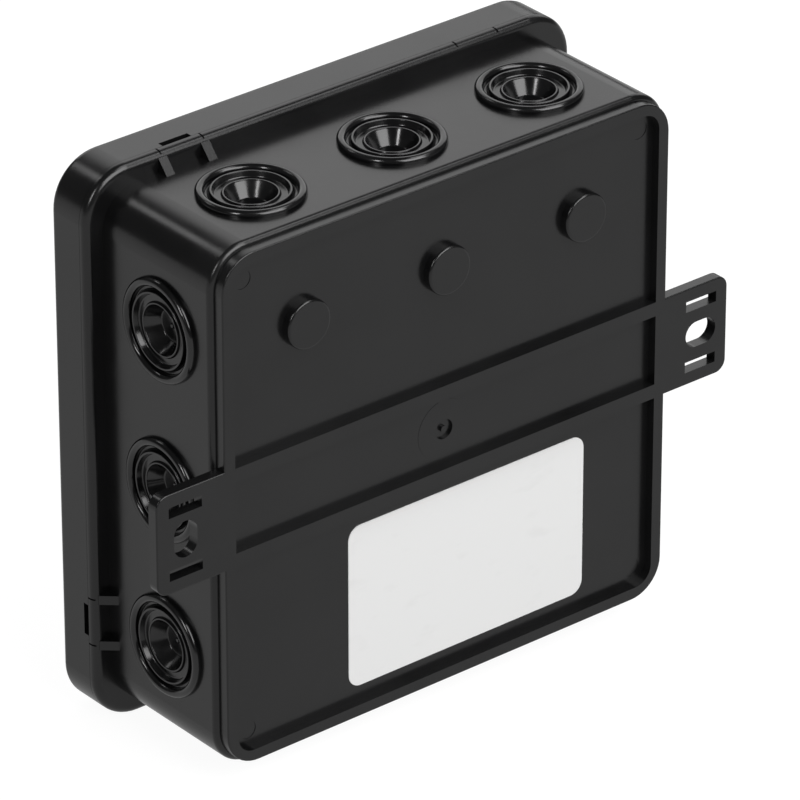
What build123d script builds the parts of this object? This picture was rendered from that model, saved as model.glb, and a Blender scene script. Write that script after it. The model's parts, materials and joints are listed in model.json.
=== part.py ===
from build123d import *
import os

# Surface-mounted junction box for solar wiring, in millimetres, +Z up.
# The wall plane is Y = 0 and the box stands out from it towards -Y, so a depth d lies at Y = -d.
# The origin is the centre of the wall plane, midway between the two ears.

# Driving dimensions: the housing
LID_SIDE = 140.0  # outer side of the lid and of the base's lip
LIP_OVERHANG = 4.5  # how far the lip stands out from the base's walls
BODY_CORNER_R = 10.0
LIP_CORNER_R = 12.0
LIP_DEPTH = 41.0  # from the wall plane to the rear face of the lip
LIP_T = 2.4
LIP_EDGE_R = 1.8
WALL = 2.2
REAR_EDGE_R = 1.4
RIM_HEIGHT = 5.8  # the wall's rim in front of the lip, inside the lid

# Rear frame, cross bars and pockets
SHOULDER = 1.25  # from the base's walls in to the frame
FRAME_HEIGHT = 2.8  # how far the frame stands behind the body's shoulder
FRAME_W = 3.0
FRAME_EDGE_R = 0.35
POCKET_DEPTH = 2.2
POCKET_CORNER_R = 4.5
BAR_W = 3.6
FLOOR_T = 2.2

# Wall ears
EAR_REACH = 17.7  # from the base's wall to the ear's end
EAR_H = 25.0  # the cross bars run on into the ears' upper and lower edges
EAR_T = 2.8
EAR_CORNER_R = 3.0
EAR_HOLE_INSET = 8.0  # from the ear's end to the middle of the hole
EAR_HOLE_W = 6.5
EAR_HOLE_L = 9.1
TIE_SLOT_L = 9.2
TIE_SLOT_W = 2.7
TIE_SLOT_Z = 7.9

# Round marks of the moulding on the rear face
BOSS_D = 12.0
BOSS_Z = 41.0
BOSS_EDGE_R = 0.6
GATE_DISC_D = 15.0
GATE_DISC_H = 0.05
GATE_D = 5.0
GATE_DEPTH = 0.7
GATE_PIP_D = 1.6
EJECTOR_D = 4.6
EJECTOR_INSET = 4.25  # from the pockets' outer edges
EJECTOR_DEPTH = 0.12

# Blank label in the lower pocket
LABEL_W = 69.5
LABEL_X = -6.9
LABEL_GAP_ABOVE = 3.35  # up to the lower cross bar
LABEL_GAP_BELOW = 3.7  # down to the frame
LABEL_T = 0.2
LABEL_CORNER_R = 3.4

# Pry slots in the lid's edge, the tabs in the lip beside them, and the gussets behind the tabs
PRY_SLOT_L = 8.0
PRY_SLOT_W = 1.6
PRY_OFFSET = 42.5
GUSSET_T = 2.3
GUSSET_SPACING = 11.9
GUSSET_LEG = 3.0
GUSSET_RISE = 3.4
TAB_L = 12.0
TAB_LINE = 0.4
TAB_LINE_DEPTH = 0.6

# Lid and seal
LID_H = 10.4
LID_T = 2.4
LID_SKIRT = 2.2
LID_EDGE_R = 1.6
SEAM_GAP = 0.08
SEAL_GAP = 0.1
SEAL_OVERLAP = 0.6  # how far the seal reaches past the rim on each side
SEAL_RIB_T = 1.2
SEAL_RIB_GAP = 0.3
SEAL_RIB_H = 3.2
SNAP_L = 14.0
SNAP_H = 0.7
SNAP_W = 1.0
SNAP_GAP = 0.3

# Membrane cable entries, three in each side wall
ENTRY_PITCH = 40.0
ENTRY_DEPTH = 20.4
ENTRY_HOLE_R = 11.0
BEAD_R = 12.5
BEAD_IN_R = 10.3
BEAD_H = 1.5
BEAD_SHOULDER = 0.35
GROOVE_IN_R = 9.5
GROOVE_H = -0.5
OUTER_LIP_R = 9.1
OUTER_LIP_H = 1.0
THIN_LIP_T = 0.45
TERRACE_H = -0.4
INNER_LIP_R = 6.35
INNER_LIP_H = 0.2
CUP_DEPTH = 3.4
CUP_FLOOR_R = 4.0
SKIN_T = 0.9
PIP_R = 0.6
PIP_H = 0.5
INNER_FLANGE_R = 12.3
INNER_FLANGE_T = 1.0

# Rail and its fixings
RAIL_L = 92.0
RAIL_W = 35.0
RAIL_WEB_W = 25.0
RAIL_H = 7.5
RAIL_T = 1.0
POST_D = 9.0
POST_H = 5.4
POST_X = 38.0
RAIL_SCREW_D = 3.6
RAIL_SCREW_HEAD_D = 7.4
RAIL_SCREW_HEAD_H = 2.4
RAIL_SCREW_REACH = 4.6
SCREW_SLOT_W = 0.9
SCREW_SLOT_DEPTH = 0.9

# Terminal blocks, their bars and screws, and the end stops
BLOCK_COUNT = 5
BLOCK_T = 8.0
BLOCK_GAP = 0.2
BLOCK_H = 42.0
BLOCK_SHOULDER_H = 30.0
BLOCK_SIDE_DEPTH = 15.0  # depth of the block's outer step in front of the rail
BLOCK_DEPTH = 25.0
HOOK_CLEARANCE = 0.2
HOOK_T = 1.5
HOOK_REACH = 1.4
CHANNEL_W = 5.0
CHANNEL_H = 5.0
CHANNEL_OFFSET = 5.5  # from the block's seat on the rail
BAR_THICK = 1.4
CLAMP_Z = 10.5
CLAMP_HOLE_D = 4.6
CLAMP_SCREW_D = 4.2
CLAMP_SCREW_L = 9.0
CLAMP_LIFT = 1.6  # how far the screw tip stands off the bar
STOP_T = 7.0
STOP_H = 40.0
STOP_DEPTH = 12.0

# Derived sizes
BODY_SIDE = LID_SIDE - 2 * LIP_OVERHANG
BODY_HALF = BODY_SIDE / 2
FRAME_SIDE = BODY_SIDE - 2 * SHOULDER
EAR_SPAN = BODY_SIDE + 2 * EAR_REACH
EAR_HOLE_X = EAR_SPAN / 2 - EAR_HOLE_INSET
BOSS_PITCH = ENTRY_PITCH
SEAM_DEPTH = LIP_DEPTH + LIP_T
RIM_DEPTH = SEAM_DEPTH + RIM_HEIGHT
FLOOR_DEPTH = POCKET_DEPTH + FLOOR_T
POCKET_SIDE = FRAME_SIDE - 2 * FRAME_W
INNER_SIDE = BODY_SIDE - 2 * WALL
EJECTOR_OFFSET = POCKET_SIDE / 2 - EJECTOR_INSET
LABEL_H = (POCKET_SIDE - EAR_H) / 2 - LABEL_GAP_ABOVE - LABEL_GAP_BELOW
LABEL_Z = -POCKET_SIDE / 2 + LABEL_GAP_BELOW + LABEL_H / 2
LID_FRONT = SEAM_DEPTH + LID_H
LID_CEILING = LID_FRONT - LID_T
SKIRT_INNER_SIDE = LID_SIDE - 2 * LID_SKIRT
RAIL_SEAT = FLOOR_DEPTH + POST_H
RAIL_FRONT = RAIL_SEAT + RAIL_H
BLOCK_PITCH = BLOCK_T + BLOCK_GAP
CHANNEL_DEPTH = RAIL_FRONT + CHANNEL_OFFSET
STOP_X = (BLOCK_COUNT * BLOCK_PITCH + STOP_T) / 2 + BLOCK_GAP

os.makedirs("parts", exist_ok=True)


def wall_plane(direction, along):
    """The outer face of one side wall, centred on its row of cable entries."""
    normal = Vector(*direction)
    return Plane(origin=normal * BODY_HALF + Vector(0, -ENTRY_DEPTH, 0), x_dir=along, z_dir=direction)


SIDES = {
    "top": wall_plane((0, 0, 1), (1, 0, 0)),
    "right": wall_plane((1, 0, 0), (0, 0, 1)),
    "left": wall_plane((-1, 0, 0), (0, 0, 1)),
    "bottom": wall_plane((0, 0, -1), (1, 0, 0)),
}
ENTRIES = [(-ENTRY_PITCH, 0), (0, 0), (ENTRY_PITCH, 0)]

# Side, place along it, and whether gussets stand behind the tab
PRY_PLACES = [
    ("top", PRY_OFFSET, True),
    ("top", -PRY_OFFSET, False),
    ("right", -PRY_OFFSET, True),
    ("bottom", -PRY_OFFSET, True),
    ("left", PRY_OFFSET, True),
]


def depth_plane(depth):
    """A plane across the box at a depth from the wall: local x is X, local y is Z, and it faces the lid."""
    return Plane.XZ.offset(depth)


def square_slab(side, corner_r, start, stop, mode=Mode.ADD):
    """A square slab with round corners between two depths."""
    with BuildSketch(depth_plane(start)) as outline:
        RectangleRounded(side, side, corner_r)
    extrude(outline.sketch, amount=stop - start, mode=mode)


def square_ring(outer, inner, outer_r, inner_r, start, stop, mode=Mode.ADD):
    """A square ring with round corners between two depths."""
    with BuildSketch(depth_plane(start)) as outline:
        RectangleRounded(outer, outer, outer_r)
        RectangleRounded(inner, inner, inner_r, mode=Mode.SUBTRACT)
    extrude(outline.sketch, amount=stop - start, mode=mode)


# Base moulding
with BuildPart() as base:
    square_slab(BODY_SIDE, BODY_CORNER_R, FRAME_HEIGHT, RIM_DEPTH)
    rear_edge = base.edges().group_by(Axis.Y)[-1]
    fillet(rear_edge, radius=REAR_EDGE_R)
    square_slab(FRAME_SIDE, BODY_CORNER_R - SHOULDER, 0, FRAME_HEIGHT)
    with BuildPart(mode=Mode.PRIVATE) as lip:
        square_slab(LID_SIDE, LIP_CORNER_R, LIP_DEPTH, SEAM_DEPTH)
        fillet(lip.edges().group_by(Axis.Y)[-1], radius=LIP_EDGE_R)
    add(lip.part)

    # Wall ears, level with the frame
    with BuildSketch(depth_plane(0)):
        RectangleRounded(EAR_SPAN, EAR_H, EAR_CORNER_R)
    extrude(amount=EAR_T)
    fillet(base.edges().group_by(Axis.Y)[-1], radius=FRAME_EDGE_R)

    # Inside of the box
    square_slab(INNER_SIDE, BODY_CORNER_R - WALL, FLOOR_DEPTH, RIM_DEPTH, mode=Mode.SUBTRACT)

    # Rear pockets between the frame and the two cross bars
    with BuildSketch(depth_plane(0)):
        RectangleRounded(POCKET_SIDE, POCKET_SIDE, POCKET_CORNER_R)
        with Locations((0, EAR_H / 2 - BAR_W / 2), (0, BAR_W / 2 - EAR_H / 2)):
            Rectangle(POCKET_SIDE, BAR_W, mode=Mode.SUBTRACT)
    extrude(amount=POCKET_DEPTH, mode=Mode.SUBTRACT)

    # Round bosses that bear on the wall
    with BuildSketch(depth_plane(0)):
        with Locations((-BOSS_PITCH, BOSS_Z), (0, BOSS_Z), (BOSS_PITCH, BOSS_Z)):
            Circle(BOSS_D / 2)
    extrude(amount=POCKET_DEPTH)
    fillet(base.edges(Select.LAST).group_by(Axis.Y)[-1], radius=BOSS_EDGE_R)

    # Gate disc with its sunk gate and pip, and the ejector marks
    with BuildSketch(depth_plane(POCKET_DEPTH - GATE_DISC_H)):
        Circle(GATE_DISC_D / 2)
    extrude(amount=GATE_DISC_H)
    with BuildSketch(depth_plane(POCKET_DEPTH - GATE_DISC_H)):
        Circle(GATE_D / 2)
        Circle(GATE_PIP_D / 2, mode=Mode.SUBTRACT)
    extrude(amount=GATE_DEPTH, mode=Mode.SUBTRACT)
    with BuildSketch(depth_plane(POCKET_DEPTH)):
        with GridLocations(2 * EJECTOR_OFFSET, 2 * EJECTOR_OFFSET, 2, 2):
            Circle(EJECTOR_D / 2)
    extrude(amount=EJECTOR_DEPTH, mode=Mode.SUBTRACT)

    # Fixing holes in the ears: one lies along X, the other along Z, and each has two tie slots
    with BuildSketch(depth_plane(0)):
        with Locations((-EAR_HOLE_X, 0)):
            SlotOverall(EAR_HOLE_L, EAR_HOLE_W)
        with Locations((EAR_HOLE_X, 0)):
            SlotOverall(EAR_HOLE_L, EAR_HOLE_W, rotation=90)
        with GridLocations(2 * EAR_HOLE_X, 2 * TIE_SLOT_Z, 2, 2):
            Rectangle(TIE_SLOT_L, TIE_SLOT_W)
    extrude(amount=EAR_T, mode=Mode.SUBTRACT)

    # Holes for the cable entries
    for side in SIDES.values():
        with BuildSketch(side):
            with Locations(*ENTRIES):
                Circle(ENTRY_HOLE_R)
        extrude(amount=-WALL, mode=Mode.SUBTRACT)

    # Tabs outlined in the lip, most of them on two gussets
    for side, place, has_gussets in PRY_PLACES:
        face = SIDES[side]
        foot = face.origin + Vector(0, ENTRY_DEPTH - LIP_DEPTH, 0) + face.x_dir * place
        top = foot + face.z_dir * LIP_OVERHANG
        for end in (-1, 1):
            with BuildSketch(Plane(top + face.x_dir * (end * TAB_L / 2), x_dir=face.x_dir, z_dir=face.z_dir)):
                Rectangle(TAB_LINE, 2 * LIP_T)
            extrude(amount=-TAB_LINE_DEPTH, mode=Mode.SUBTRACT)
            if has_gussets:
                middle = foot + face.x_dir * (end * GUSSET_SPACING / 2)
                with BuildSketch(Plane(middle, x_dir=(0, 1, 0), z_dir=face.x_dir)) as web:
                    rise = GUSSET_RISE * (1 if web.workplanes[0].y_dir.dot(face.z_dir) > 0 else -1)
                    with BuildLine():
                        Polyline((-LIP_T, 0), (GUSSET_LEG, 0), (0, rise), (-LIP_T, rise), close=True)
                    make_face()
                extrude(amount=GUSSET_T / 2, both=True)

    # Snap ribs round the rim
    with BuildSketch(depth_plane(RIM_DEPTH - 2 * SNAP_W)):
        for turn in (0, 90):
            with Locations(Location((0, 0), turn)):
                Rectangle(SNAP_L, BODY_SIDE + 2 * SNAP_H)
        RectangleRounded(INNER_SIDE, INNER_SIDE, BODY_CORNER_R - WALL, mode=Mode.SUBTRACT)
    extrude(amount=SNAP_W)

    # Posts that carry the rail
    with BuildSketch(depth_plane(FLOOR_DEPTH)):
        with Locations((-POST_X, 0), (POST_X, 0)):
            Circle(POST_D / 2)
    extrude(amount=POST_H)
    with BuildSketch(depth_plane(RAIL_SEAT)):
        with Locations((-POST_X, 0), (POST_X, 0)):
            Circle(RAIL_SCREW_D / 2)
    extrude(amount=-RAIL_SCREW_REACH, mode=Mode.SUBTRACT)
base.part.label = "base"
export_step(base.part, "parts/base.step")

# Lid with its skirt, the rib that holds the seal, and the snap ribs
with BuildPart() as lid:
    square_slab(LID_SIDE, LIP_CORNER_R, SEAM_DEPTH + SEAM_GAP, LID_FRONT)
    fillet(lid.edges().group_by(Axis.Y)[0], radius=LID_EDGE_R)
    square_slab(SKIRT_INNER_SIDE, LIP_CORNER_R - LID_SKIRT, SEAM_DEPTH, LID_CEILING, mode=Mode.SUBTRACT)
    rib_outer = INNER_SIDE - 2 * SEAL_OVERLAP - 2 * SEAL_RIB_GAP
    rib_inner = rib_outer - 2 * SEAL_RIB_T
    rib_r = BODY_CORNER_R - WALL - SEAL_OVERLAP - SEAL_RIB_GAP
    square_ring(rib_outer, rib_inner, rib_r, rib_r - SEAL_RIB_T, LID_CEILING - SEAL_RIB_H, LID_CEILING)
    snap_reach = SKIRT_INNER_SIDE / 2 - BODY_HALF - SNAP_H - SNAP_GAP
    with BuildSketch(depth_plane(SEAM_DEPTH + SEAM_GAP)):
        for turn in (0, 90, 180, 270):
            with Locations(Location((0, 0), turn)):
                with Locations((0, SKIRT_INNER_SIDE / 2 - snap_reach / 2)):
                    Rectangle(SNAP_L, snap_reach)
    extrude(amount=SNAP_W)

    # Slots in the skirt's edge for prying the lid off
    for side, place, has_gussets in PRY_PLACES:
        face = SIDES[side]
        if has_gussets:
            mouth = face.origin + Vector(0, ENTRY_DEPTH - SEAM_DEPTH, 0) + face.x_dir * place
            with BuildSketch(Plane(mouth + face.z_dir * LIP_OVERHANG, x_dir=face.x_dir, z_dir=face.z_dir)):
                Rectangle(PRY_SLOT_L, 2 * (PRY_SLOT_W + SEAM_GAP))
            extrude(amount=-LID_SKIRT, mode=Mode.SUBTRACT)
lid.part.label = "lid"
export_step(lid.part, "parts/lid.step")

# Soft seal between the rim and the lid
with BuildPart() as lid_seal:
    seal_outer = BODY_SIDE + 2 * SEAL_OVERLAP
    seal_inner = INNER_SIDE - 2 * SEAL_OVERLAP
    square_ring(
        seal_outer,
        seal_inner,
        BODY_CORNER_R + SEAL_OVERLAP,
        BODY_CORNER_R - WALL - SEAL_OVERLAP,
        RIM_DEPTH + SEAL_GAP,
        LID_CEILING,
    )
lid_seal.part.label = "lid_seal"
export_step(lid_seal.part, "parts/lid_seal.step")

# Membrane cable entries: a bead outside, two thin lips, a cup, and a flange inside the wall
for side_name, side in SIDES.items():
    for number, (offset_along, _) in enumerate(ENTRIES, start=1):
        centre = side.origin + side.x_dir * offset_along
        with BuildPart() as membrane:
            with BuildSketch(Plane(centre, x_dir=side.x_dir, z_dir=side.x_dir.cross(side.z_dir))):
                with BuildLine():
                    skin = Polyline(
                        (0, -CUP_DEPTH - SKIN_T),
                        (0, PIP_H - CUP_DEPTH),
                        (PIP_R, PIP_H - CUP_DEPTH),
                        (PIP_R, -CUP_DEPTH),
                        (CUP_FLOOR_R, -CUP_DEPTH),
                        (INNER_LIP_R - THIN_LIP_T, INNER_LIP_H),
                        (INNER_LIP_R, INNER_LIP_H),
                        (INNER_LIP_R + THIN_LIP_T / 2, TERRACE_H),
                        (OUTER_LIP_R - THIN_LIP_T, TERRACE_H),
                        (OUTER_LIP_R - THIN_LIP_T, OUTER_LIP_H),
                        (OUTER_LIP_R, OUTER_LIP_H),
                        (GROOVE_IN_R, GROOVE_H),
                        (BEAD_IN_R, GROOVE_H),
                        (BEAD_IN_R, BEAD_SHOULDER),
                    )
                    bead = ThreePointArc(skin @ 1, ((BEAD_IN_R + BEAD_R) / 2, BEAD_H), (BEAD_R, BEAD_SHOULDER))
                    Polyline(
                        bead @ 1,
                        (BEAD_R, 0),
                        (ENTRY_HOLE_R, 0),
                        (ENTRY_HOLE_R, -WALL),
                        (INNER_FLANGE_R, -WALL),
                        (INNER_FLANGE_R, -WALL - INNER_FLANGE_T),
                        (BEAD_IN_R - SKIN_T, -WALL - INNER_FLANGE_T),
                        (BEAD_IN_R - SKIN_T, GROOVE_H - SKIN_T),
                        (INNER_LIP_R + SKIN_T, TERRACE_H - SKIN_T),
                        (CUP_FLOOR_R + SKIN_T, -CUP_DEPTH - SKIN_T),
                        skin @ 0,
                    )
                make_face()
            revolve(axis=Axis(centre, side.z_dir), revolution_arc=360)
        membrane.part.label = f"membrane_{side_name}_{number}"
        export_step(membrane.part, f"parts/membrane_{side_name}_{number}.step")

# Blank label in the lower pocket
with BuildPart() as label:
    with BuildSketch(depth_plane(POCKET_DEPTH - LABEL_T)):
        with Locations((LABEL_X, LABEL_Z)):
            RectangleRounded(LABEL_W, LABEL_H, LABEL_CORNER_R)
    extrude(amount=LABEL_T)
label.part.label = "label"
export_step(label.part, "parts/label.step")

# Top-hat rail on the two posts
with BuildPart() as din_rail:
    with BuildSketch(Plane.YZ.offset(-RAIL_L / 2)):
        with Locations((-RAIL_SEAT - RAIL_T / 2, 0)):
            Rectangle(RAIL_T, RAIL_WEB_W)
        for end in (-1, 1):
            with Locations((-RAIL_SEAT - RAIL_H / 2, end * (RAIL_WEB_W - RAIL_T) / 2)):
                Rectangle(RAIL_H, RAIL_T)
            flange_w = (RAIL_W - RAIL_WEB_W) / 2 + RAIL_T
            with Locations((-RAIL_FRONT + RAIL_T / 2, end * (RAIL_W - flange_w) / 2)):
                Rectangle(RAIL_T, flange_w)
    extrude(amount=RAIL_L)
    with BuildSketch(depth_plane(RAIL_SEAT)):
        with Locations((-POST_X, 0), (POST_X, 0)):
            Circle(RAIL_SCREW_D / 2)
    extrude(amount=RAIL_T, mode=Mode.SUBTRACT)
din_rail.part.label = "din_rail"
export_step(din_rail.part, "parts/din_rail.step")

# Two slotted screws that hold the rail on its posts
with BuildPart() as rail_screws:
    for x in (-POST_X, POST_X):
        with BuildSketch(depth_plane(RAIL_SEAT - RAIL_SCREW_REACH)):
            with Locations((x, 0)):
                Circle(RAIL_SCREW_D / 2)
        extrude(amount=RAIL_SCREW_REACH + RAIL_T)
        with BuildSketch(depth_plane(RAIL_SEAT + RAIL_T)):
            with Locations((x, 0)):
                Circle(RAIL_SCREW_HEAD_D / 2)
        extrude(amount=RAIL_SCREW_HEAD_H)
        with BuildSketch(depth_plane(RAIL_SEAT + RAIL_T + RAIL_SCREW_HEAD_H)):
            with Locations((x, 0)):
                Rectangle(RAIL_SCREW_HEAD_D, SCREW_SLOT_W)
        extrude(amount=-SCREW_SLOT_DEPTH, mode=Mode.SUBTRACT)
rail_screws.part.label = "rail_screws"
export_step(rail_screws.part, "parts/rail_screws.step")


def rail_hooks():
    """The foot that grips the rail's two flanges, drawn in the plane of the rail's section."""
    hook_out = RAIL_W / 2 + HOOK_CLEARANCE
    hook_back = RAIL_FRONT - RAIL_T - HOOK_CLEARANCE
    for end in (-1, 1):
        with Locations((-(RAIL_FRONT + hook_back - HOOK_T) / 2, end * (hook_out + HOOK_T / 2))):
            Rectangle(RAIL_FRONT - hook_back + HOOK_T, HOOK_T)
        with Locations((-hook_back + HOOK_T / 2, end * (hook_out + HOOK_T - HOOK_REACH))):
            Rectangle(HOOK_T, 2 * HOOK_REACH)


# Terminal blocks, each with its current bar
BLOCK_XS = [(index - (BLOCK_COUNT - 1) / 2) * BLOCK_PITCH for index in range(BLOCK_COUNT)]
for number, x in enumerate(BLOCK_XS, start=1):
    with BuildPart() as block:
        with BuildSketch(Plane.YZ.offset(x - BLOCK_T / 2)):
            with Locations((-RAIL_FRONT - BLOCK_SIDE_DEPTH / 2, 0)):
                Rectangle(BLOCK_SIDE_DEPTH, BLOCK_H)
            with Locations((-RAIL_FRONT - BLOCK_DEPTH / 2, 0)):
                Rectangle(BLOCK_DEPTH, BLOCK_SHOULDER_H)
            rail_hooks()
        extrude(amount=BLOCK_T)
        with BuildSketch(depth_plane(CHANNEL_DEPTH)):
            with Locations((x, 0)):
                Rectangle(CHANNEL_W, BLOCK_H)
        extrude(amount=CHANNEL_H, mode=Mode.SUBTRACT)
        with BuildSketch(depth_plane(CHANNEL_DEPTH + CHANNEL_H)):
            with Locations((x, -CLAMP_Z), (x, CLAMP_Z)):
                Circle(CLAMP_HOLE_D / 2)
        extrude(amount=RAIL_FRONT + BLOCK_DEPTH - CHANNEL_DEPTH - CHANNEL_H, mode=Mode.SUBTRACT)
    block.part.label = f"terminal_block_{number}"
    export_step(block.part, f"parts/terminal_block_{number}.step")

    with BuildPart() as current_bar:
        with BuildSketch(depth_plane(CHANNEL_DEPTH)):
            with Locations((x, 0)):
                Rectangle(CHANNEL_W, BLOCK_SHOULDER_H)
        extrude(amount=BAR_THICK)
    current_bar.part.label = f"current_bar_{number}"
    export_step(current_bar.part, f"parts/current_bar_{number}.step")

# Clamp screws of all the blocks
with BuildPart() as clamp_screws:
    tip = CHANNEL_DEPTH + BAR_THICK + CLAMP_LIFT
    for x in BLOCK_XS:
        for z in (-CLAMP_Z, CLAMP_Z):
            with BuildSketch(depth_plane(tip)):
                with Locations((x, z)):
                    Circle(CLAMP_SCREW_D / 2)
            extrude(amount=CLAMP_SCREW_L)
            with BuildSketch(depth_plane(tip + CLAMP_SCREW_L)):
                with Locations((x, z)):
                    Rectangle(CLAMP_SCREW_D, SCREW_SLOT_W)
            extrude(amount=-SCREW_SLOT_DEPTH, mode=Mode.SUBTRACT)
clamp_screws.part.label = "clamp_screws"
export_step(clamp_screws.part, "parts/clamp_screws.step")

# End stops that keep the blocks together on the rail
for stop_name, x in (("end_stop_left", -STOP_X), ("end_stop_right", STOP_X)):
    with BuildPart() as end_stop:
        with BuildSketch(Plane.YZ.offset(x - STOP_T / 2)):
            with Locations((-RAIL_FRONT - STOP_DEPTH / 2, 0)):
                Rectangle(STOP_DEPTH, STOP_H)
            rail_hooks()
        extrude(amount=STOP_T)
    end_stop.part.label = stop_name
    export_step(end_stop.part, f"parts/{stop_name}.step")
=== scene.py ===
"""Looks of the junction box: materials for the CAD nodes, turned membranes, floor, light and camera."""

import json
import math

import bmesh
import bpy
from mathutils import Matrix, Vector


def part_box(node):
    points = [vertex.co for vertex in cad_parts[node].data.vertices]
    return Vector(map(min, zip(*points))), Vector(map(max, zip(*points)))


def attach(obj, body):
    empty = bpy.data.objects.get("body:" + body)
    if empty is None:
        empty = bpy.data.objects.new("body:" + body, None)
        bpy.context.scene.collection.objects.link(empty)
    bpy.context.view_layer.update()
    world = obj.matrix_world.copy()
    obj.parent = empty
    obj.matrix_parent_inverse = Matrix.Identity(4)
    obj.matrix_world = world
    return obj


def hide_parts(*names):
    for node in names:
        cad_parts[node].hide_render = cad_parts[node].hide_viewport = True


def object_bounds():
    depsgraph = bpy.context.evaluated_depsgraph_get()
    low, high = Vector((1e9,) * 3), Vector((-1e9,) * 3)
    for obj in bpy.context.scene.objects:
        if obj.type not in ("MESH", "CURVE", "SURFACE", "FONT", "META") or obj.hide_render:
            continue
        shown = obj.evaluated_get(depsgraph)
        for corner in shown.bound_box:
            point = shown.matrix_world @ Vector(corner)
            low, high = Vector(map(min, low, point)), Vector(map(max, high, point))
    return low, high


MM = 0.001
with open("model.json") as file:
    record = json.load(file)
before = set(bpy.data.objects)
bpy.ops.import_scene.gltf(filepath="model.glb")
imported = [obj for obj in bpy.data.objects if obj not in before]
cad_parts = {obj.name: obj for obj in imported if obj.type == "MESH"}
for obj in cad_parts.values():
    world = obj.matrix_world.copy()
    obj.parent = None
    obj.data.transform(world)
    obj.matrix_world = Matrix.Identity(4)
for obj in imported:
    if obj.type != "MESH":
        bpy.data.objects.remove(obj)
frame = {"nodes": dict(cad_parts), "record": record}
cad_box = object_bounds()
scene = bpy.context.scene

# Camera: a long lens, above and to one side of the box's rear
CAMERA_AZIMUTH = 39.47  # degrees from +Y towards +X
CAMERA_ELEVATION = 28.75
CAMERA_DISTANCE = 1.602
CAMERA_TARGET = Vector((-0.01015, -0.030, -0.00786))
LENS_MM = 315.0
SENSOR_MM = 36.0
CLIP_END = 50.0

# Surfaces that meet at less than this angle are shaded smooth
SMOOTH_ANGLE = math.radians(28)

NOISE_ROUGHNESS = 0.55

# Floor and surround: emission as the camera sees it and as reflections see it, and the world's light
FLOOR_SIZE = 12.0
FLOOR_COLOUR = (0.12, 0.12, 0.12, 1)
FLOOR_CAMERA_GLOW = 0.93
FLOOR_GLOSS_GLOW = 0.47
WORLD_CAMERA = 1.0
WORLD_GLOSS = 0.09
WORLD_LIGHT = 0.35
WHITE = (1, 1, 1, 1)

# Soft boxes: name, azimuth from +Y towards +X, elevation, distance, width, height, radiance
SOFT_BOXES = [
    ("screen", 223, 29, 2.6, 3.3, 1.8, 0.92),
    ("corner", 161, 45, 2.4, 0.4, 0.5, 2.2),
    ("overhead", 300, 62, 2.4, 1.1, 0.9, 2.2),
    ("strip", 72, 33, 2.4, 0.35, 0.9, 9.0),
    ("fill", -10, 40, 2.6, 2.2, 1.8, 4.0),
]

# Membrane profile, in millimetres: radius and height above the wall's outer face
BEAD_R = 12.5
BEAD_IN_R = 10.3
BEAD_TOP = 1.5
CUP_FLOOR = -3.4
CUP_FLOOR_R = 4.0
INNER_LIP_R = 6.35
OUTER_LIP_R = 9.1
HOLE_R = 11.0
WALL = 2.2
INNER_FLANGE_R = 12.3
INNER_FLANGE_END = -3.2
TURN_STEPS = 128
CORNER_STEPS = 5
BEAD_STEPS = 16


# ---------------------------------------------------------------- node helpers
def new_material(name):
    """An empty node material, with its node tree."""
    material = bpy.data.materials.new(name)
    material.use_nodes = True
    tree = material.node_tree
    tree.nodes.clear()
    return material, tree


def add(tree, kind, **sockets):
    """Adds a node; keyword values set its inputs by name, or link to them when they are sockets."""
    node = tree.nodes.new("ShaderNode" + kind)
    for name, value in sockets.items():
        target = node.inputs[name.replace("_", " ")]
        if isinstance(value, bpy.types.NodeSocket):
            tree.links.new(value, target)
        else:
            target.default_value = value
    return node


def noise(tree, scale, detail, stretch=(1, 1, 1)):
    """Noise in object space, in cells per metre, stretched along the axes."""
    place = add(tree, "TexCoord").outputs["Object"]
    mapping = add(tree, "Mapping", Vector=place, Scale=stretch)
    cells = add(
        tree,
        "TexNoise",
        Vector=mapping.outputs["Vector"],
        Scale=scale,
        Detail=detail,
        Roughness=NOISE_ROUGHNESS,
    )
    return cells.outputs["Fac"]


def ramp(tree, fac, low, high, start=0.35, stop=0.65):
    """A colour or grey that goes from low to high as fac goes from start to stop."""
    node = add(tree, "ValToRGB", Fac=fac)
    node.color_ramp.elements[0].position = start
    node.color_ramp.elements[1].position = stop
    for element, value in zip(node.color_ramp.elements, (low, high)):
        element.color = (*value, 1) if isinstance(value, tuple) else (value, value, value, 1)
    return node.outputs["Color"]


def grain(tree, height, depth):
    """A fine bump, depth metres deep."""
    return add(tree, "Bump", Strength=1.0, Distance=depth, Height=height).outputs["Normal"]


# ------------------------------------------------------------------- materials
def moulded_plastic(name, dark, light, rough_low, rough_high, specular):
    """Satin injection-moulded plastic: faint tone drift and a fine spark-eroded grain."""
    material, tree = new_material(name)
    drift = noise(tree, 45, detail=3)
    fine = noise(tree, 2600, detail=2)
    shader = add(
        tree,
        "BsdfPrincipled",
        Base_Color=ramp(tree, drift, dark, light),
        Roughness=ramp(tree, drift, rough_low, rough_high, 0.3, 0.7),
        Normal=grain(tree, fine, 0.006 * MM),
    )
    shader.inputs["Specular IOR Level"].default_value = specular
    add(tree, "OutputMaterial", Surface=shader.outputs["BSDF"])
    return material


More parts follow.
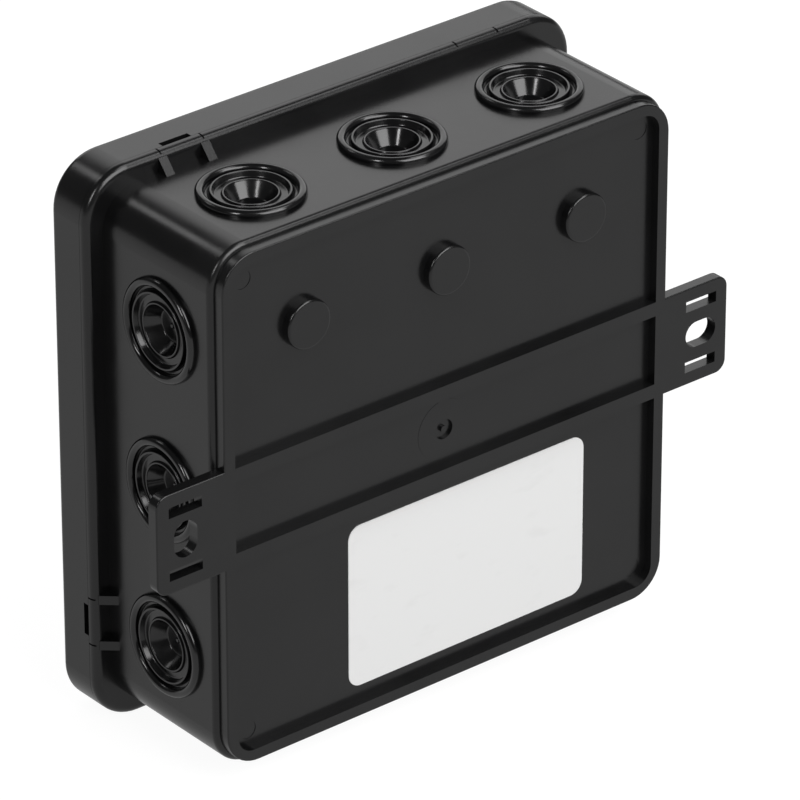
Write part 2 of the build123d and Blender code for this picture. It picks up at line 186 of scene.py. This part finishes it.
def soft_membrane(name):
    """Smooth, glossy thermoplastic rubber with a faint haze."""
    material, tree = new_material(name)
    haze = noise(tree, 160, detail=4)
    ripple = noise(tree, 420, detail=1)
    shader = add(
        tree,
        "BsdfPrincipled",
        Base_Color=ramp(tree, haze, (0.002, 0.002, 0.0022), (0.004, 0.004, 0.0043)),
        Roughness=ramp(tree, haze, 0.14, 0.23),
        Normal=grain(tree, ripple, 0.02 * MM),
    )
    shader.inputs["Specular IOR Level"].default_value = 0.6
    add(tree, "OutputMaterial", Surface=shader.outputs["BSDF"])
    return material


def label_paper(name):
    """Matt white label stock with a few faint grey smudges."""
    material, tree = new_material(name)
    smudge = noise(tree, 90, detail=6, stretch=(1, 1, 2.2))
    fibre = noise(tree, 3000, detail=3)
    shader = add(
        tree,
        "BsdfPrincipled",
        Base_Color=ramp(tree, smudge, (0.84, 0.84, 0.835), (0.87, 0.87, 0.866), 0.27, 0.40),
        Roughness=0.6,
        Normal=grain(tree, fibre, 0.01 * MM),
    )
    add(tree, "OutputMaterial", Surface=shader.outputs["BSDF"])
    return material


def plated_metal(name, colour, roughness):
    """Rolled and plated metal with fine drawn lines."""
    material, tree = new_material(name)
    lines = noise(tree, 900, detail=3, stretch=(0.05, 1, 1))
    shader = add(
        tree,
        "BsdfPrincipled",
        Base_Color=ramp(tree, lines, tuple(0.85 * c for c in colour), colour),
        Metallic=1.0,
        Roughness=ramp(tree, lines, roughness, roughness + 0.12),
        Normal=grain(tree, lines, 0.01 * MM),
    )
    add(tree, "OutputMaterial", Surface=shader.outputs["BSDF"])
    return material


def make_materials():
    """Every material by the record's slot."""
    return {
        "housing": moulded_plastic(
            "housing", (0.0035, 0.0035, 0.0037), (0.0055, 0.0055, 0.0057), 0.19, 0.27, 0.5
        ),
        "membrane": soft_membrane("membrane"),
        "label": label_paper("label"),
        "seal": moulded_plastic("seal", (0.05, 0.05, 0.05), (0.08, 0.08, 0.08), 0.7, 0.8, 0.3),
        "steel": plated_metal("steel", (0.62, 0.63, 0.64), 0.28),
        "brass": plated_metal("brass", (0.72, 0.56, 0.28), 0.25),
        "terminal_plastic": moulded_plastic(
            "terminal_plastic", (0.22, 0.225, 0.23), (0.26, 0.265, 0.27), 0.42, 0.5, 0.45
        ),
        "earth_plastic": moulded_plastic(
            "earth_plastic", (0.05, 0.2, 0.03), (0.07, 0.26, 0.04), 0.42, 0.5, 0.45
        ),
    }


def dress(obj, material):
    """Gives an object one material and smooth shading up to the sharp edges."""
    obj.data.materials.clear()
    obj.data.materials.append(material)
    obj.data.polygons.foreach_set("use_smooth", [True] * len(obj.data.polygons))
    obj.data.set_sharp_from_angle(angle=SMOOTH_ANGLE)


# -------------------------------------------------------------------- membranes
def rounded(points, radii):
    """A chain of points in which each inner corner with a radius is replaced by a short arc."""
    chain = [Vector(points[0])]
    for before, corner, after, radius in zip(points, points[1:], points[2:], radii[1:]):
        corner = Vector(corner)
        to_before = Vector(before) - corner
        to_after = Vector(after) - corner
        if radius <= 0:
            chain.append(corner)
            continue
        half = to_before.angle(to_after) / 2
        reach = min(radius / math.tan(half), 0.48 * to_before.length, 0.48 * to_after.length)
        start = corner + to_before.normalized() * reach
        stop = corner + to_after.normalized() * reach
        for step in range(CORNER_STEPS + 1):
            t = step / CORNER_STEPS
            chain.append((1 - t) ** 2 * start + 2 * t * (1 - t) * corner + t**2 * stop)
    chain.append(Vector(points[-1]))
    return chain


def membrane_profile():
    """The membrane's half section from the axis, out over the bead, and back along its inner side."""
    corners = [
        (0.0, CUP_FLOOR + 0.5, 0),
        (0.45, CUP_FLOOR + 0.5, 0.2),
        (0.7, CUP_FLOOR, 0.15),
        (CUP_FLOOR_R, CUP_FLOOR, 0.5),
        (INNER_LIP_R - 0.45, 0.0, 0.2),
        (INNER_LIP_R - 0.35, 0.25, 0.12),
        (INNER_LIP_R, 0.25, 0.12),
        (INNER_LIP_R + 0.25, -0.4, 0.3),
        (OUTER_LIP_R - 0.9, -0.4, 0.4),
        (OUTER_LIP_R - 0.45, 1.0, 0.15),
        (OUTER_LIP_R, 1.0, 0.15),
        (OUTER_LIP_R + 0.4, -0.5, 0.3),
        (BEAD_IN_R, -0.5, 0.3),
    ]
    bead_half = (BEAD_R - BEAD_IN_R) / 2
    bead_centre = BEAD_TOP - bead_half
    for step in range(BEAD_STEPS + 1):
        angle = math.pi * (1 - step / BEAD_STEPS)
        across = BEAD_IN_R + bead_half + bead_half * math.cos(angle)
        corners.append((across, bead_centre + bead_half * math.sin(angle), 0))
    corners += [
        (BEAD_R, 0.02, 0.0),
        (HOLE_R, 0.02, 0),
        (HOLE_R, -WALL - 0.02, 0),
        (INNER_FLANGE_R, -WALL - 0.02, 0.1),
        (INNER_FLANGE_R, INNER_FLANGE_END, 0.3),
        (BEAD_IN_R - 0.9, INNER_FLANGE_END, 0.3),
        (BEAD_IN_R - 0.9, -1.4, 0.3),
        (INNER_LIP_R + 0.9, -1.3, 0.4),
        (CUP_FLOOR_R + 0.9, CUP_FLOOR - 0.9, 0.6),
        (0.0, CUP_FLOOR - 0.9, 0),
    ]
    return rounded([c[:2] for c in corners], [c[2] for c in corners])


def turned_mesh(name, profile):
    """A closed surface of revolution about local z from a profile that starts and ends on the axis."""
    form = bmesh.new()
    first = form.verts.new((0, 0, profile[0].y * MM))
    last = form.verts.new((0, 0, profile[-1].y * MM))
    rings = []
    for radius, height in profile[1:-1]:
        ring = []
        for step in range(TURN_STEPS):
            angle = 2 * math.pi * step / TURN_STEPS
            across, along = radius * MM * math.cos(angle), radius * MM * math.sin(angle)
            ring.append(form.verts.new((across, along, height * MM)))
        rings.append(ring)
    for step in range(TURN_STEPS):
        nxt = (step + 1) % TURN_STEPS
        form.faces.new((first, rings[0][step], rings[0][nxt]))
        form.faces.new((last, rings[-1][nxt], rings[-1][step]))
        for inner, outer in zip(rings, rings[1:]):
            form.faces.new((inner[step], outer[step], outer[nxt], inner[nxt]))
    bmesh.ops.recalc_face_normals(form, faces=form.faces)
    mesh = bpy.data.meshes.new(name)
    form.to_mesh(mesh)
    form.free()
    return mesh


def make_membranes(material):
    """One turned membrane over each CAD membrane, in its place and facing out of its wall."""
    profile = membrane_profile()
    outward = {
        "top": Vector((0, 0, 1)),
        "bottom": Vector((0, 0, -1)),
        "right": Vector((1, 0, 0)),
        "left": Vector((-1, 0, 0)),
    }
    for side, normal in outward.items():
        for number in (1, 2, 3):
            node = f"membrane_{side}_{number}"
            low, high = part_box(node)
            centre = (low + high) / 2
            tip = max(low.dot(normal), high.dot(normal))
            centre += normal * (tip - BEAD_TOP * MM - centre.dot(normal))
            mesh = turned_mesh(f"entry_{side}_{number}", profile)
            turn = normal.to_track_quat("Z", "Y").to_matrix().to_4x4()
            mesh.transform(Matrix.Translation(centre) @ turn)
            piece = bpy.data.objects.new(mesh.name, mesh)
            scene.collection.objects.link(piece)
            dress(piece, material)
            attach(piece, "housing")
            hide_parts(node)


# ------------------------------------------------------------------------ stage
def make_floor():
    """A large pale floor that the camera and reflections see as white, with the box's own soft shadow."""
    level = cad_box[0][2]
    half = FLOOR_SIZE / 2
    mesh = bpy.data.meshes.new("floor")
    corners = [(-half, -half, level), (half, -half, level), (half, half, level), (-half, half, level)]
    mesh.from_pydata(corners, [], [(0, 1, 2, 3)])
    floor = bpy.data.objects.new("floor", mesh)
    scene.collection.objects.link(floor)
    material, tree = new_material("floor")
    path = add(tree, "LightPath")
    seen = add(tree, "Math")
    seen.operation = "MAXIMUM"
    tree.links.new(path.outputs["Is Camera Ray"], seen.inputs[0])
    tree.links.new(path.outputs["Is Transmission Ray"], seen.inputs[1])
    direct = add(tree, "Math")
    direct.operation = "MULTIPLY"
    tree.links.new(seen.outputs[0], direct.inputs[0])
    direct.inputs[1].default_value = FLOOR_CAMERA_GLOW
    gloss = add(tree, "Math")
    gloss.operation = "MULTIPLY_ADD"
    tree.links.new(path.outputs["Is Glossy Ray"], gloss.inputs[0])
    gloss.inputs[1].default_value = FLOOR_GLOSS_GLOW
    tree.links.new(direct.outputs[0], gloss.inputs[2])
    glow = add(tree, "Emission", Color=WHITE, Strength=gloss.outputs[0])
    paint = add(tree, "BsdfDiffuse", Color=FLOOR_COLOUR)
    both = add(tree, "AddShader")
    tree.links.new(glow.outputs[0], both.inputs[0])
    tree.links.new(paint.outputs[0], both.inputs[1])
    add(tree, "OutputMaterial", Surface=both.outputs[0])
    mesh.materials.append(material)


def make_world():
    """A white surround: fully white to the camera, dimmer as a light."""
    world = bpy.data.worlds.new("studio")
    scene.world = world
    world.use_nodes = True
    tree = world.node_tree
    tree.nodes.clear()
    path = add(tree, "LightPath")
    seen = add(tree, "Math")
    seen.operation = "MULTIPLY_ADD"
    tree.links.new(path.outputs["Is Glossy Ray"], seen.inputs[0])
    seen.inputs[1].default_value = WORLD_GLOSS - WORLD_LIGHT
    seen.inputs[2].default_value = WORLD_LIGHT
    total = add(tree, "Math")
    total.operation = "MULTIPLY_ADD"
    tree.links.new(path.outputs["Is Camera Ray"], total.inputs[0])
    total.inputs[1].default_value = WORLD_CAMERA - WORLD_LIGHT
    tree.links.new(seen.outputs[0], total.inputs[2])
    background = add(tree, "Background", Color=WHITE, Strength=total.outputs[0])
    add(tree, "OutputWorld", Surface=background.outputs[0])


def direction(azimuth, elevation):
    """Unit vector at an azimuth from +Y towards +X and an elevation, both in degrees."""
    turn, rise = math.radians(azimuth), math.radians(elevation)
    return Vector((math.sin(turn) * math.cos(rise), math.cos(turn) * math.cos(rise), math.sin(rise)))


def soft_box(name, azimuth, elevation, distance, width, height, radiance):
    """A rectangular soft light that faces the origin and that the camera doesn't see."""
    place = distance * direction(azimuth, elevation)
    light = bpy.data.lights.new(name, "AREA")
    light.shape = "RECTANGLE"
    light.size = width
    light.size_y = height
    light.energy = 4 * width * height * radiance
    obj = bpy.data.objects.new(name, light)
    obj.location = place
    obj.rotation_euler = (-place).to_track_quat("-Z", "Y").to_euler()
    obj.visible_camera = False
    scene.collection.objects.link(obj)


def make_lights():
    """The broad screen, which the top faces mirror, three smaller boxes for highlights, and a fill."""
    for box in SOFT_BOXES:
        soft_box(*box)


def make_camera():
    """A camera with a long lens, aimed at its target and held level."""
    away = direction(CAMERA_AZIMUTH, CAMERA_ELEVATION)
    data = bpy.data.cameras.new("camera")
    data.lens = LENS_MM
    data.sensor_width = SENSOR_MM
    data.clip_end = CLIP_END
    camera = bpy.data.objects.new("camera", data)
    aim = (-away).to_track_quat("-Z", "Y").to_matrix().to_4x4()
    camera.matrix_world = Matrix.Translation(CAMERA_TARGET + away * CAMERA_DISTANCE) @ aim
    scene.collection.objects.link(camera)
    scene.camera = camera


materials = make_materials()
for part in frame["record"]["subparts"]:
    dress(frame["nodes"][part["node"]], materials[part["material_slot"]])
make_membranes(materials["membrane"])
make_floor()
make_world()
make_lights()
make_camera()
scene.view_settings.view_transform = "Standard"
